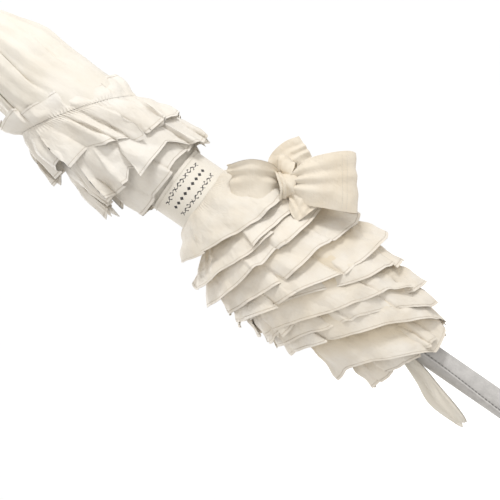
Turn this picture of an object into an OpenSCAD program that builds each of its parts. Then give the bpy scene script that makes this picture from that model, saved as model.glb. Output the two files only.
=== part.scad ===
// Ruffled parasol with a fixed shaft, a crook handle, eight hinged ribs and a sliding runner.
// Stored closed and bundled. +Z runs up the shaft to the ferrule; the origin is in the middle of
// the straight grip, on the shaft's axis.

/* [Frame] */
// Number of ribs, and of gores between them
rib_count = 8; // [8]
// Length of a rib from its crown pivot to its tip
rib_length = 580; // [540:10:620]
// Distance from the crown pivot to the stretcher pivot, and the stretcher's own length
link_length = 220; // [200:5:240]
// Angle that a rib has turned when the parasol is fully open
open_angle = 75; // [65:1:78]
// Radius of the circle of pivots round the shaft
pivot_r = 9; // [8.8:0.1:9.5]
// Outer diameter of the shaft tube
shaft_d = 10; // [10]

/* [Handle] */
// Outer diameter of the leather grip
grip_d = 25; // [22:1:28]
// Exposed straight length of the grip between the hem and the crook
grip_length = 100; // [90:5:120]
// Radius of the crook's centre line
crook_r = 42; // [38:1:50]
// Straight length at the crook's free end
crook_tail = 18; // [10:1:25]

/* [Fabric] */
// Height of the closure band above the hem
band_height = 284; // [278:1:290]
// Width of the closure band along the shaft
band_width = 40; // [34:1:42]
// Radius of the bundle under the closure band
band_r = 34; // [32:1:36]
// Largest radius of the bundled lower flounces
flounce_r = 78; // [76:1:84]
// Largest radius of the bundled upper ruffles
ruffle_r = 66; // [60:1:70]

/* [Ferrule] */
// Radius of the ferrule's straight end
ferrule_r = 4; // [3.5:0.1:4.5]
// Length of the ferrule's straight end
ferrule_end = 25; // [20:1:30]

/* [Hidden] */
$fn = 64;
sector = 360 / rib_count;
sector_gap = 1.8;

hem_z = grip_length / 2;
pivot_z = hem_z + 20 + rib_length;
runner_pivot_z = pivot_z - 2 * link_length;
runner_travel = 2 * link_length * (1 - cos(open_angle));

shaft_r = shaft_d / 2;
tube_wall = 0.8;
shaft_top_z = pivot_z + 12;
shaft_bottom_z = -hem_z + 20;

// Crown: a notched hub on the shaft
crown_r = 12;
crown_h = 9;
slot_w = 2.3;
eye_r = 1.6;
eye_hole_r = 0.75;
eye_gap = 0.3;
tie_wire_r = 0.55;

// Ribs: a channel outside the pivot circle, with lugs that reach in to the pivots
rib_in_r = 11;
rib_w = 3.6;
rib_depth = 2.6;
rib_wall = 0.6;
rib_root_len = 16;
rib_tip_len = 14;
tab_w = 2;
tab_reach = 0.6;
root_lap = 4;
lug_w = 0.8;
lug_gap = 0.1;
tip_shank_r = 1.1;
tip_bead_r = 2.2;

// Stretchers
stretcher_w = 2;
stretcher_depth = 2.4;
link_pin_r = 0.7;
link_pin_clear = 0.06;
runner_pin_len = 3.8;
pin_slot_half = 0.95;
pin_slot_end = 0.25;

// Runner
runner_bore_r = shaft_r + 0.15;
sleeve_r = 7.1;
flange_r = 10.7;
flange_h = 8;
sleeve_len = 60;
keyway_w = 3;
keyway_r = 6.5;
keyway_end = 1;
catch_angle = sector / 2;

// Catches
catch_w = 2.2;
catch_reach = 6.3;
catch_h = 9;
catch_lip = 2;
catch_top_r = shaft_r - 1;
leaf_t = 0.6;
leaf_x = 1.2;
leaf_len = 38;
catch_window_h = 14;
catch_window_low = 2;
catch_window_side = 0.2;
bottom_catch_z = runner_pivot_z - flange_h / 2 - sleeve_len + 12;
top_catch_z = runner_pivot_z + runner_travel - flange_h / 2 - sleeve_len - 5;

// Handle
core_r = grip_d / 2 - 1.3;
wrap_gap = 0.05;
grip_top_z = hem_z + 12;
crook_z = -hem_z;
collar_h = 2.5;
collar_lip = 1.5;
collar_over = 0.6;
cap_h = 7;
cap_over = 0.4;

// Ferrule, the nut under it and the cloth rosette round its foot
ferrule_foot_r = 8;
ferrule_neck_r = 5.2;
ferrule_taper = 36;
nut_r = 9.5;
nut_h = 4;
washer_r = 14;
washer_h = 1.6;
rosette_r = 20;
rosette_top_r = 12;
rosette_h = 12;
rosette_in_r = 8.4;
rosette_gap = 0.2;

// Fabric solids: an inner radius that clears the ribs, and profiles given as [radius, height above hem]
cloth_in_r = 15;
cloth_top_r = 19;
layer_gap = 0.4;
band_gap = 1.2;
waist_r = band_r - band_gap;
band_low = band_height - band_width / 2;
band_high = band_height + band_width / 2;
gore_profile = [
    [26, 8], [32, 60], [34, 150], [33, 235], [waist_r, band_low - 2], [waist_r, band_high + 4], [36, 330],
    [44, 380], [50, 430], [49, 470], [40, 520], [28, 565], [cloth_top_r, 592]
];
flounce_profile = [
    [34, -4], [42, -4], [54, 15], [64, 50], [72, 95], [flounce_r, 150], [74, 185], [66, 212], [52, 238],
    [38, band_low - 6]
];
ruffle_profile = [
    [38, band_high + 6], [56, band_high + 12], [ruffle_r, 334], [64, 366], [58, 404], [53, 432]
];

// Closure band, its tab and the snap, all in the middle of the third gore
band_t = 1.2;
snap_angle = 2.5 * sector;
slit_from = 14;
slit_to = 18;
tab_t = 1.2;
tab_angle = 40;
tab_inset = 4;
tab_in_r = band_r + band_t + layer_gap;
snap_r = 4;
snap_hole_r = 1.5;
snap_cap_t = 1.5;
snap_gap = 0.05;
snap_floor = 0.4;

// Bow: points are [radius, 0, height above hem] in the plane through the middle of the last gore
bow_angle = -sector / 2;
bow_knot = [66, 0, 236];
bow_knot_r = 8;
bow_end_r = 6;
bow_upper = [[60, -14, 262], [98, 10, 226]];
bow_lower = [[96, -12, 156], [120, 4, 166]];

// Wrist loop: a sleeve on the grip and a doubled ribbon that hangs outward from it
loop_sleeve_r = 14.2;
loop_sleeve_h = 7;
loop_sleeve_gap = 0.02;
loop_lap = 2;
loop_length = 74;
loop_w = 12;
loop_depth = 6;
loop_lean = 9;

// A box that spans x from x0 to x1, is w wide across Y and spans z from z0 to z1
module bar(x0, x1, w, z0, z1) {
    translate([x0, -w / 2, z0])
        cube([x1 - x0, w, z1 - z0]);
}

// A round pin or hole along Y through the point at radius x and height z
module cross_pin(x, z, r, length) {
    translate([x, 0, z])
        rotate([90, 0, 0])
            cylinder(r = r, h = length, center = true, $fn = 24);
}

// A wedge of the bundle between two ribs, turned from a profile of [radius, height] points
module wedge(profile, inner_r) {
    low = profile[0][1];
    high = profile[len(profile) - 1][1];
    outline = concat([[inner_r, low]], profile, [[inner_r, high]]);
    translate([0, 0, hem_z])
        rotate([0, 0, sector_gap / 2])
            rotate_extrude(angle = sector - sector_gap)
                polygon(outline);
}

module shaft() {
    color("silver")
        difference() {
            translate([0, 0, shaft_bottom_z])
                cylinder(r = shaft_r, h = shaft_top_z - shaft_bottom_z);
            translate([0, 0, shaft_bottom_z - 1])
                cylinder(r = shaft_r - tube_wall, h = shaft_top_z - shaft_bottom_z + 2);
            for (z = [bottom_catch_z, top_catch_z])
                rotate([0, 0, catch_angle])
                    bar(0, shaft_r + 1, catch_w + 2 * catch_window_side, z - catch_window_low,
                        z + catch_window_h);
        }
}

// A spring catch: a wedge that stands out of the shaft's window, on a leaf inside the tube
module catch(z) {
    rotate([0, 0, catch_angle]) {
        translate([0, catch_w / 2, z])
            rotate([90, 0, 0])
                linear_extrude(catch_w)
                    polygon([
                        [leaf_x, 0], [catch_reach, 0], [catch_reach, catch_lip],
                        [catch_top_r, catch_h], [leaf_x, catch_h]
                    ]);
        bar(leaf_x - leaf_t, leaf_x, catch_w, z - leaf_len, z + catch_h);
    }
}

module top_catch() {
    color("silver") catch(top_catch_z);
}

module bottom_catch() {
    color("silver") catch(bottom_catch_z);
}

module crown() {
    color("gainsboro")
        difference() {
            translate([0, 0, pivot_z - crown_h / 2])
                cylinder(r = crown_r, h = crown_h);
            translate([0, 0, pivot_z - crown_h / 2 - 1])
                cylinder(r = shaft_r, h = crown_h + 2);
            for (k = [0:rib_count - 1])
                rotate([0, 0, k * sector])
                    bar(pivot_r - eye_r - eye_gap, crown_r + 1, slot_w, pivot_z - crown_h,
                        pivot_z + crown_h);
            translate([0, 0, pivot_z])
                rotate_extrude()
                    translate([pivot_r, 0])
                        circle(r = tie_wire_r, $fn = 24);
        }
}

module crown_wire() {
    color("silver")
        translate([0, 0, pivot_z])
            rotate_extrude()
                translate([pivot_r, 0])
                    circle(r = tie_wire_r, $fn = 24);
}

module runner() {
    flange_low = runner_pivot_z - flange_h / 2;
    slot_top = flange_low + flange_h + 1;
    sleeve_low = flange_low - sleeve_len;
    color("whitesmoke")
        difference() {
            union() {
                translate([0, 0, flange_low])
                    cylinder(r = flange_r, h = flange_h);
                translate([0, 0, sleeve_low])
                    cylinder(r = sleeve_r, h = sleeve_len);
            }
            translate([0, 0, sleeve_low - 1])
                cylinder(r = runner_bore_r, h = slot_top - sleeve_low + 1);
            rotate([0, 0, catch_angle]) {
                bar(0, keyway_r, keyway_w, sleeve_low - 1, slot_top);
                bar(0, sleeve_r + 1, keyway_w, bottom_catch_z - keyway_end,
                    bottom_catch_z + catch_h + keyway_end);
            }
            for (k = [0:rib_count - 1])
                rotate([0, 0, k * sector]) {
                    bar(pivot_r - eye_r - pin_slot_end, flange_r + 1, slot_w, flange_low - 1, slot_top);
                    bar(pivot_r - pin_slot_half, pivot_r + pin_slot_half, runner_pin_len + 2 * pin_slot_end,
                        flange_low - 1, slot_top);
                }
        }
}

// A rib in place at its own angle: a channel with a crown eye and a pair of lugs at the stretcher
module rib(k) {
    link_z = pivot_z - link_length;
    root_z = pivot_z - rib_root_len;
    tip_z = pivot_z - rib_length + rib_tip_len;
    back_r = rib_in_r + rib_depth;
    color("silver")
        rotate([0, 0, k * sector])
            difference() {
                union() {
                    bar(rib_in_r, back_r, rib_w, tip_z, root_z);
                    bar(pivot_r - tab_reach, back_r, tab_w, root_z - root_lap, root_z + root_lap);
                    bar(pivot_r - tab_reach, pivot_r + eye_r, tab_w, root_z + root_lap / 2, pivot_z);
                    cross_pin(pivot_r, pivot_z, eye_r, tab_w);
                    for (side = [-1, 1])
                        translate([0, side * (tab_w + lug_w + 2 * lug_gap) / 2, 0]) {
                            bar(pivot_r, rib_in_r + rib_depth / 2, lug_w, link_z - eye_r, link_z + eye_r);
                            cross_pin(pivot_r, link_z, eye_r, lug_w);
                        }
                }
                bar(rib_in_r - 1, back_r - rib_wall, rib_w - 2 * rib_wall, tip_z - 1, root_z - root_lap);
                cross_pin(pivot_r, pivot_z, eye_hole_r, 2 * tab_w);
                cross_pin(pivot_r, link_z, link_pin_r + link_pin_clear, 4 * tab_w);
            }
}

// The bead and shank on a rib's end that the cloth is sewn to
module rib_tip(k) {
    tip_z = pivot_z - rib_length;
    middle = rib_in_r + rib_depth / 2;
    color("ivory")
        rotate([0, 0, k * sector])
            translate([middle, 0, tip_z]) {
                cylinder(r = tip_shank_r, h = rib_tip_len);
                sphere(r = tip_bead_r, $fn = 32);
            }
}

// A stretcher in place: a flat bar with an eye and a cross pin at each end
module stretcher(k) {
    link_z = pivot_z - link_length;
    low_z = link_z - link_length;
    color("silver")
        rotate([0, 0, k * sector]) {
            bar(pivot_r - stretcher_depth / 2, pivot_r + stretcher_depth / 2, stretcher_w, low_z, link_z);
            cross_pin(pivot_r, link_z, eye_r - 0.1, tab_w);
            cross_pin(pivot_r, low_z, eye_r - 0.1, tab_w);
            cross_pin(pivot_r, link_z, link_pin_r, tab_w + 2 * lug_w + 2 * lug_gap);
            cross_pin(pivot_r, low_z, link_pin_r, runner_pin_len);
        }
}

module ferrule() {
    base_z = pivot_z + crown_h / 2 + nut_h;
    top_z = base_z + ferrule_taper;
    color("silver")
        difference() {
            union() {
                translate([0, 0, base_z])
                    cylinder(r1 = ferrule_foot_r, r2 = ferrule_neck_r, h = ferrule_taper);
                translate([0, 0, top_z])
                    cylinder(r = ferrule_r, h = ferrule_end);
            }
            translate([0, 0, base_z - 1])
                cylinder(r = shaft_r, h = shaft_top_z - base_z + 1);
        }
}

module ferrule_nut() {
    base_z = pivot_z + crown_h / 2;
    color("silver")
        difference() {
            union() {
                translate([0, 0, base_z])
                    cylinder(r = washer_r, h = washer_h);
                translate([0, 0, base_z])
                    cylinder(r = nut_r, h = nut_h);
            }
            translate([0, 0, base_z - 1])
                cylinder(r = shaft_r, h = nut_h + 2);
        }
}

// A gathered cloth ring that hides the hole in the canopy round the ferrule
module top_rosette() {
    base_z = pivot_z + crown_h / 2 + nut_h + rosette_gap;
    color("ivory")
        difference() {
            translate([0, 0, base_z])
                cylinder(r1 = rosette_r, r2 = rosette_top_r, h = rosette_h);
            translate([0, 0, base_z - 1])
                cylinder(r = rosette_in_r, h = rosette_h + 2);
        }
}

module handle_core() {
    color("burlywood")
        difference() {
            union() {
                translate([0, 0, crook_z])
                    cylinder(r = core_r, h = grip_top_z - crook_z);
                crook_bend(core_r, 0);
                translate([2 * crook_r, 0, crook_z])
                    cylinder(r = core_r, h = crook_tail);
            }
            translate([0, 0, shaft_bottom_z])
                cylinder(r = shaft_r, h = grip_top_z - shaft_bottom_z + 1);
        }
}

// Half a turn of tube below the straight grip, towards +X
module crook_bend(outer_r, inner_r) {
    translate([crook_r, 0, crook_z])
        rotate([90, 0, 0])
            rotate([0, 0, 180])
                rotate_extrude(angle = 180)
                    translate([crook_r, 0])
                        difference() {
                            circle(r = outer_r);
                            if (inner_r > 0)
                                circle(r = inner_r);
                        }
}

module tube(outer_r, inner_r, z0, z1) {
    translate([0, 0, z0])
        difference() {
            cylinder(r = outer_r, h = z1 - z0);
            translate([0, 0, -1])
                cylinder(r = inner_r, h = z1 - z0 + 2);
        }
}

module handle_wrap() {
    inner = core_r + wrap_gap;
    color("darkgray") {
        tube(grip_d / 2, inner, crook_z, grip_top_z - collar_h);
        crook_bend(grip_d / 2, inner);
        translate([2 * crook_r, 0, 0])
            tube(grip_d / 2, inner, crook_z, crook_z + crook_tail);
    }
}

module handle_collar() {
    color("silver") {
        tube(grip_d / 2 + collar_over, core_r + wrap_gap, grip_top_z - collar_h, grip_top_z);
        tube(grip_d / 2 + collar_over, shaft_r, grip_top_z, grip_top_z + collar_lip);
    }
}

module crook_cap() {
    color("silver")
        translate([2 * crook_r, 0, crook_z + crook_tail])
            rotate_extrude()
                intersection() {
                    translate([0, -grip_d / 2 + cap_h])
                        circle(r = grip_d / 2 + cap_over);
                    square([grip_d, cap_h + 1]);
                }
}

module gore(k) {
    color("ivory")
        rotate([0, 0, k * sector])
            wedge(gore_profile, cloth_in_r);
}

// The bundled flounces on a gore: the lower stack and the ruffles above the band
module flounces(k) {
    color("seashell")
        rotate([0, 0, k * sector]) {
            difference() {
                wedge(flounce_profile, cloth_in_r);
                inner_bundle(gore_profile);
            }
            difference() {
                wedge(ruffle_profile, cloth_in_r);
                inner_bundle(gore_profile);
            }
        }
}

// The whole turned bundle inside the flounces, a little larger than the gores
module inner_bundle(profile) {
    outline = concat([[0, 0]], [[0, -40]], [[profile[0][0] + layer_gap, -40]],
        [for (p = profile) [p[0] + layer_gap, p[1]]], [[0, profile[len(profile) - 1][1]]]);
    translate([0, 0, hem_z])
        rotate_extrude()
            polygon(outline);
}

module closure_band() {
    color("linen")
        difference() {
            translate([0, 0, hem_z + band_height - band_width / 2])
                rotate([0, 0, snap_angle + slit_to])
                    rotate_extrude(angle = 360 - slit_to + slit_from)
                        translate([band_r, 0])
                            square([band_t, band_width]);
            snap_bore(snap_r + snap_gap);
        }
}

// A hole through the band and the tab at the snap
module snap_bore(r) {
    rotate([0, 0, snap_angle])
        translate([band_r, 0, hem_z + band_height])
            rotate([0, 90, 0])
                cylinder(r = r, h = 12, center = true);
}

// The band's overlapping end, outside the band on its snap side
module band_tab() {
    height = band_width - 2 * tab_inset;
    color("linen")
        difference() {
            translate([0, 0, hem_z + band_height - height / 2])
                rotate([0, 0, snap_angle - tab_angle / 2])
                    rotate_extrude(angle = tab_angle)
                        translate([tab_in_r, 0])
                            square([tab_t, height]);
            snap_bore(snap_hole_r);
        }
}

module snap_cap() {
    color("silver")
        rotate([0, 0, snap_angle])
            translate([tab_in_r + tab_t, 0, hem_z + band_height])
                rotate([0, 90, 0])
                    cylinder(r1 = snap_r, r2 = snap_r - 1, h = snap_cap_t);
}

module snap_socket() {
    color("silver")
        rotate([0, 0, snap_angle])
            translate([band_r, 0, hem_z + band_height])
                rotate([0, 90, 0])
                    difference() {
                        cylinder(r = snap_r, h = band_t);
                        translate([0, 0, snap_floor])
                            cylinder(r = snap_hole_r, h = band_t);
                    }
}

// One arm of the bow: a loop and its tail as one closed solid, from the knot through two points
module bow_arm(points) {
    hull() {
        translate(bow_knot)
            sphere(r = bow_knot_r, $fn = 24);
        for (p = points)
            translate(p)
                sphere(r = bow_end_r, $fn = 24);
    }
}

// A soft tied bow below the band
module bow() {
    color("ivory")
        translate([0, 0, hem_z])
            rotate([0, 0, bow_angle]) {
                bow_arm(bow_upper);
                bow_arm(bow_lower);
            }
}

// A doubled fabric ribbon that hangs from the top of the grip, with the sleeve it is sewn to
module wrist_loop() {
    color("ivory") {
        tube(loop_sleeve_r, grip_d / 2 + loop_sleeve_gap, hem_z, hem_z + loop_sleeve_h);
        translate([-grip_d / 2 - 1, 0, hem_z + loop_sleeve_h - loop_lap])
            rotate([0, loop_lean, 0])
                translate([-loop_depth, -loop_w / 2, -loop_length])
                    cube([loop_depth, loop_w, loop_length]);
    }
}

shaft();
ferrule();
ferrule_nut();
crown();
crown_wire();
top_catch();
bottom_catch();
runner();
handle_core();
handle_wrap();
handle_collar();
crook_cap();
closure_band();
band_tab();
snap_cap();
snap_socket();
bow();
wrist_loop();
top_rosette();
for (k = [1:rib_count]) {
    rib(k - 1);
    rib_tip(k - 1);
    stretcher(k - 1);
    gore(k - 1);
    flounces(k - 1);
}
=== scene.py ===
import math

import bpy
import numpy as np
from mathutils import Matrix, Vector


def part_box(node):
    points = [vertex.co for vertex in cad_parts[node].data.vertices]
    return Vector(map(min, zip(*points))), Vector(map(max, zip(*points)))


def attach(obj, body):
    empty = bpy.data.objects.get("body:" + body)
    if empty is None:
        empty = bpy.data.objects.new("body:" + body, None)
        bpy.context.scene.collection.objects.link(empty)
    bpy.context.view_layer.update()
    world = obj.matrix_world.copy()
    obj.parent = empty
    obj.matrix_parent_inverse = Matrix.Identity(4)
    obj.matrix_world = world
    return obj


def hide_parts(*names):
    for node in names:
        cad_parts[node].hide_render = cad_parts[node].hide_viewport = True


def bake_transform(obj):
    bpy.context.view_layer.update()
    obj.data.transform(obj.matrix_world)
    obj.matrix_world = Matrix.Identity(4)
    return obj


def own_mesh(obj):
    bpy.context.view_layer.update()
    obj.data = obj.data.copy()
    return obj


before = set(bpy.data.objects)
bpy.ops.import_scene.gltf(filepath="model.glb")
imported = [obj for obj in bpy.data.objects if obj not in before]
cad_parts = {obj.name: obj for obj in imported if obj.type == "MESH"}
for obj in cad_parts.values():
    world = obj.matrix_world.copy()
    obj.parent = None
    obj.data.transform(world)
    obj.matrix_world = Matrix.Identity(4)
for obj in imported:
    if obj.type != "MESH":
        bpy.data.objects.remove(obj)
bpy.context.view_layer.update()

# -------------------- places, from the frame
GORES = 8
SECTOR = 2 * math.pi / GORES
MM = 0.001
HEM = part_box("flounces_1")[0][2] + 4 * MM
CANOPY_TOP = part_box("gore_1")[1][2]
BAND_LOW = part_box("closure_band")[0][2]
BAND_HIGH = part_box("closure_band")[1][2]
BAND_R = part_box("closure_band")[1][0]
GRIP_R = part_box("handle_wrap")[1][1]
CROOK_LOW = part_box("handle_wrap")[0][2]
BAND_MID = (BAND_LOW + BAND_HIGH) / 2


# -------------------- camera and lights
def make_camera():
    """Looks along +Y, rolled so that the shaft runs from lower right to upper left."""
    lens, sensor = 100.0, 36.0
    view_width = 0.5
    distance = view_width * lens / sensor
    slope = math.radians(34.6)
    aim = Vector((-0.0155, 0.0, HEM + 0.202))
    right = Vector((math.sin(slope), 0, -math.cos(slope)))
    up = Vector((math.cos(slope), 0, math.sin(slope)))
    back = Vector((0, -1, 0))
    cam = bpy.data.objects.new("camera", bpy.data.cameras.new("camera"))
    cam.data.lens = lens
    cam.data.clip_end = 20
    turn = Matrix((right, up, back)).transposed().to_4x4()
    cam.matrix_world = Matrix.Translation(aim + back * distance) @ turn
    bpy.context.scene.collection.objects.link(cam)
    bpy.context.scene.camera = cam


def area_light(name, place, target, size, power, tint=(1, 1, 1)):
    """A round lamp that faces its target."""
    data = bpy.data.lights.new(name, "AREA")
    data.shape = "DISK"
    data.size = size
    data.energy = power
    data.color = tint
    lamp = bpy.data.objects.new(name, data)
    aim = Vector(target) - Vector(place)
    lamp.matrix_world = Matrix.Translation(place) @ aim.to_track_quat("-Z", "Y").to_matrix().to_4x4()
    bpy.context.scene.collection.objects.link(lamp)


def make_light():
    """A warm even studio, one key lamp and one lamp behind."""
    world = bpy.data.worlds.new("studio")
    world.use_nodes = True
    background = world.node_tree.nodes["Background"]
    background.inputs["Color"].default_value = (1, 0.97, 0.925, 1)
    background.inputs["Strength"].default_value = 0.83
    bpy.context.scene.world = world
    bpy.context.scene.view_settings.view_transform = "Standard"
    middle = (0, 0, HEM + 0.2)
    area_light("key", (1.1, -0.95, 1.2), middle, 0.35, 13.5, (1, 0.995, 0.98))
    area_light("back", (-0.9, 1.3, 1.1), middle, 0.8, 9)


def stage_sheet(name, verts, faces, colour, glow):
    """A plain pale surface of the studio, bright to the eye and dark to the object."""
    mesh = bpy.data.meshes.new(name)
    mesh.from_pydata(verts, [], faces)
    mat, _, bsdf = new_material(name + "_paint")
    bsdf.inputs["Base Color"].default_value = colour
    bsdf.inputs["Roughness"].default_value = 0.9
    bsdf.inputs["Emission Color"].default_value = (1, 1, 1, 1)
    bsdf.inputs["Emission Strength"].default_value = glow
    mesh.materials.append(mat)
    made = bpy.data.objects.new(name, mesh)
    made.visible_diffuse = False
    made.visible_glossy = False
    made.visible_shadow = False
    bpy.context.scene.collection.objects.link(made)


def make_floor():
    """A pale floor under the crook, and a plain white room round it."""
    side, wall = 3.0, 6.0
    level = CROOK_LOW - 0.5 * MM
    corners = [(-1, -1), (1, -1), (1, 1), (-1, 1)]
    floor = [(x * side, y * side, level) for x, y in corners]
    stage_sheet("floor", floor, [(0, 1, 2, 3)], (0.9, 0.9, 0.9, 1), 0.6)
    room = [(x * wall, y * wall, z * wall) for z in (-1, 1) for x, y in corners]
    walls = [(0, 1, 2, 3), (7, 6, 5, 4), (0, 4, 5, 1), (1, 5, 6, 2), (2, 6, 7, 3), (3, 7, 4, 0)]
    stage_sheet("room", room, walls, (0.0, 0.0, 0.0, 1), 1.0)


# -------------------- materials
# The sockets of a Mix node that carry its two colours and its result
COLOUR_A, COLOUR_B, MIXED_COLOUR = 6, 7, 2
# Painted shade: the warmer, darker tint of cloth that lies under the tier above
PAINTED_SHADE_TINT = (0.96, 0.89, 0.74)
# The hem's stitch line: partly the stitching's own colour, partly painted shade along the hem fold
STITCH_AND_SHADE_TINT = (0.82, 0.71, 0.54)
LEATHER_CAST = (1, 0.985, 0.975)


def new_material(name):
    mat = bpy.data.materials.new(name)
    mat.use_nodes = True
    tree = mat.node_tree
    return mat, tree, tree.nodes["Principled BSDF"]


def node(tree, kind, **settings):
    made = tree.nodes.new(kind)
    for key, value in settings.items():
        setattr(made, key, value)
    return made


def math_node(tree, operation, a, b=None, clamp=False):
    made = node(tree, "ShaderNodeMath", operation=operation, use_clamp=clamp)
    for socket, value in zip(made.inputs, (a, b)):
        if value is None:
            continue
        if isinstance(value, (int, float)):
            socket.default_value = value
        else:
            tree.links.new(value, socket)
    return made.outputs[0]


def plus(tree, a, b):
    return math_node(tree, "ADD", a, b)


def minus(tree, a, b, clamp=False):
    return math_node(tree, "SUBTRACT", a, b, clamp)


def times(tree, a, b, clamp=False):
    return math_node(tree, "MULTIPLY", a, b, clamp)


def size_of(tree, a):
    return math_node(tree, "ABSOLUTE", a)


def tinted(colour, tint):
    return tuple(c * t for c, t in zip(colour, tint))


def mix_colours(tree, share, first, second):
    """The first colour, a socket, blended towards the second, three numbers, by a share from 0 to 1."""
    mix = node(tree, "ShaderNodeMix", data_type="RGBA")
    tree.links.new(share, mix.inputs["Factor"])
    tree.links.new(first, mix.inputs[COLOUR_A])
    mix.inputs[COLOUR_B].default_value = (*second, 1)
    return mix.outputs[MIXED_COLOUR]


def object_place(tree):
    return node(tree, "ShaderNodeTexCoord").outputs["Object"]


def cell_edges(tree, vector, scale):
    """Distance to the nearest border of a pattern of irregular cells."""
    made = node(tree, "ShaderNodeTexVoronoi", feature="DISTANCE_TO_EDGE")
    made.inputs["Scale"].default_value = scale
    tree.links.new(vector, made.inputs["Vector"])
    return made.outputs["Distance"]


def colour_ramp(tree, fac, stops):
    ramp = node(tree, "ShaderNodeValToRGB")
    tree.links.new(fac, ramp.inputs["Fac"])
    while len(ramp.color_ramp.elements) < len(stops):
        ramp.color_ramp.elements.new(0.5)
    for element, (place, colour) in zip(ramp.color_ramp.elements, stops):
        element.position = place
        element.color = (*colour, 1)
    return ramp.outputs["Color"]


def noise(tree, vector, scale, detail):
    made = node(tree, "ShaderNodeTexNoise")
    made.inputs["Scale"].default_value = scale
    made.inputs["Detail"].default_value = detail
    made.inputs["Roughness"].default_value = 0.55
    tree.links.new(vector, made.inputs["Vector"])
    return made.outputs["Fac"]


def noise_colour(tree, vector, scale):
    made = node(tree, "ShaderNodeTexNoise")
    made.inputs["Scale"].default_value = scale
    tree.links.new(vector, made.inputs["Vector"])
    return made.outputs["Color"]


def mapped(tree, vector, scale):
    made = node(tree, "ShaderNodeMapping")
    made.inputs["Scale"].default_value = scale
    tree.links.new(vector, made.inputs["Vector"])
    return made.outputs["Vector"]


def add_bump(tree, bsdf, height, distance, strength, below=None):
    bump = node(tree, "ShaderNodeBump")
    bump.inputs["Distance"].default_value = distance
    bump.inputs["Strength"].default_value = strength
    tree.links.new(height, bump.inputs["Height"])
    if below is not None:
        tree.links.new(below, bump.inputs["Normal"])
    tree.links.new(bump.outputs["Normal"], bsdf.inputs["Normal"])
    return bump.outputs["Normal"]


def weave_height(tree, vector, pitch):
    """Plain weave: two crossed thread waves, in the cloth's own metres."""
    split = node(tree, "ShaderNodeSeparateXYZ")
    tree.links.new(vector, split.inputs[0])
    waves = []
    for axis in (0, 1):
        phase = times(tree, split.outputs[axis], 2 * math.pi / pitch)
        waves.append(math_node(tree, "SINE", phase))
    return times(tree, *waves)


def cloth_material(name, light, shade, crease, hem=0.0, painted_shade=False):
    """Taffeta: weave, slubs, crisp dents, and if asked a stitched hem of a given depth, whose stitch line is
    partly painted shade, and painted warm shade on cloth that lies under the tier above.
    """
    mat, tree, bsdf = new_material(name)
    place = node(tree, "ShaderNodeUVMap").outputs["UV"]
    solid = object_place(tree)
    tone = noise(tree, solid, 26.0, 4.0)
    slub = noise(tree, mapped(tree, place, (1400, 90, 1)), 1.0, 2.0)
    mixed = plus(tree, times(tree, tone, 0.75), times(tree, slub, 0.25))
    paint = colour_ramp(tree, mixed, [(0.32, shade), (0.62, light)])
    bsdf.inputs["Roughness"].default_value = 0.5
    bsdf.inputs["Specular IOR Level"].default_value = 0.3
    bsdf.inputs["Sheen Weight"].default_value = 0.25
    bsdf.inputs["Sheen Roughness"].default_value = 0.45
    split = node(tree, "ShaderNodeSeparateXYZ")
    tree.links.new(place, split.inputs[0])
    up = split.outputs[1]
    # Painted shade: cloth more than about 16 mm up from its hem, under the tier above, blends towards a
    # warmer, darker tint.
    if painted_shade:
        painted_shade_share = minus(tree, times(tree, up, 45.0), 0.7, clamp=True)
        paint = mix_colours(tree, times(tree, painted_shade_share, 0.6), paint, tinted(shade, PAINTED_SHADE_TINT))
    dents = noise(tree, mapped(tree, solid, (1, 1, 0.55)), 60.0, 3.0)
    bent = node(tree, "ShaderNodeVectorMath", operation="MULTIPLY_ADD")
    tree.links.new(noise_colour(tree, solid, 22.0), bent.inputs[0])
    bent.inputs[1].default_value = (0.03, 0.03, 0.03)
    tree.links.new(solid, bent.inputs[2])
    facets = cell_edges(tree, mapped(tree, bent.outputs[0], (1, 1, 0.6)), 34.0)
    fine = noise(tree, mapped(tree, solid, (1, 1, 0.5)), 170.0, 3.0)
    broad = plus(tree, dents, times(tree, facets, 1.3))
    below = add_bump(tree, bsdf, plus(tree, broad, times(tree, fine, 0.22)), 0.0035, crease)
    if hem:
        fold = minus(tree, 1.0, math_node(tree, "DIVIDE", up, hem), clamp=True)
        edge = times(tree, fold, 8.0, clamp=True)
        # The stitch line near the hem fold is darkened, partly as stitching and partly as painted shade.
        off = size_of(tree, minus(tree, up, hem * 0.92))
        line = minus(tree, 1.0, math_node(tree, "DIVIDE", off, 0.5 * MM), clamp=True)
        paint = mix_colours(tree, times(tree, line, 0.4), paint, tinted(shade, STITCH_AND_SHADE_TINT))
        seam = minus(tree, edge, times(tree, line, 0.8))
        below = add_bump(tree, bsdf, seam, 0.0007, 0.8, below)
    tree.links.new(paint, bsdf.inputs["Base Color"])
    second = add_bump(tree, bsdf, slub, 0.00025, 0.5, below)
    add_bump(tree, bsdf, weave_height(tree, place, 0.00055), 0.00008, 0.6, second)
    return mat


def thread_material(name, colour):
    """Sewing thread: painted shade darkens the grooves of its twist."""
    mat, tree, bsdf = new_material(name)
    twist = node(tree, "ShaderNodeTexWave", wave_type="BANDS", bands_direction="DIAGONAL")
    twist.inputs["Scale"].default_value = 900.0
    tree.links.new(object_place(tree), twist.inputs["Vector"])
    # Painted shade: the darker stop falls in the twist's grooves, the low side of the bands that also make
    # the bump.
    stops = [(0.2, tuple(c * 0.8 for c in colour)), (0.8, colour)]
    tree.links.new(colour_ramp(tree, twist.outputs["Fac"], stops), bsdf.inputs["Base Color"])
    bsdf.inputs["Roughness"].default_value = 0.75
    add_bump(tree, bsdf, twist.outputs["Fac"], 0.0001, 0.6)
    return mat


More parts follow.
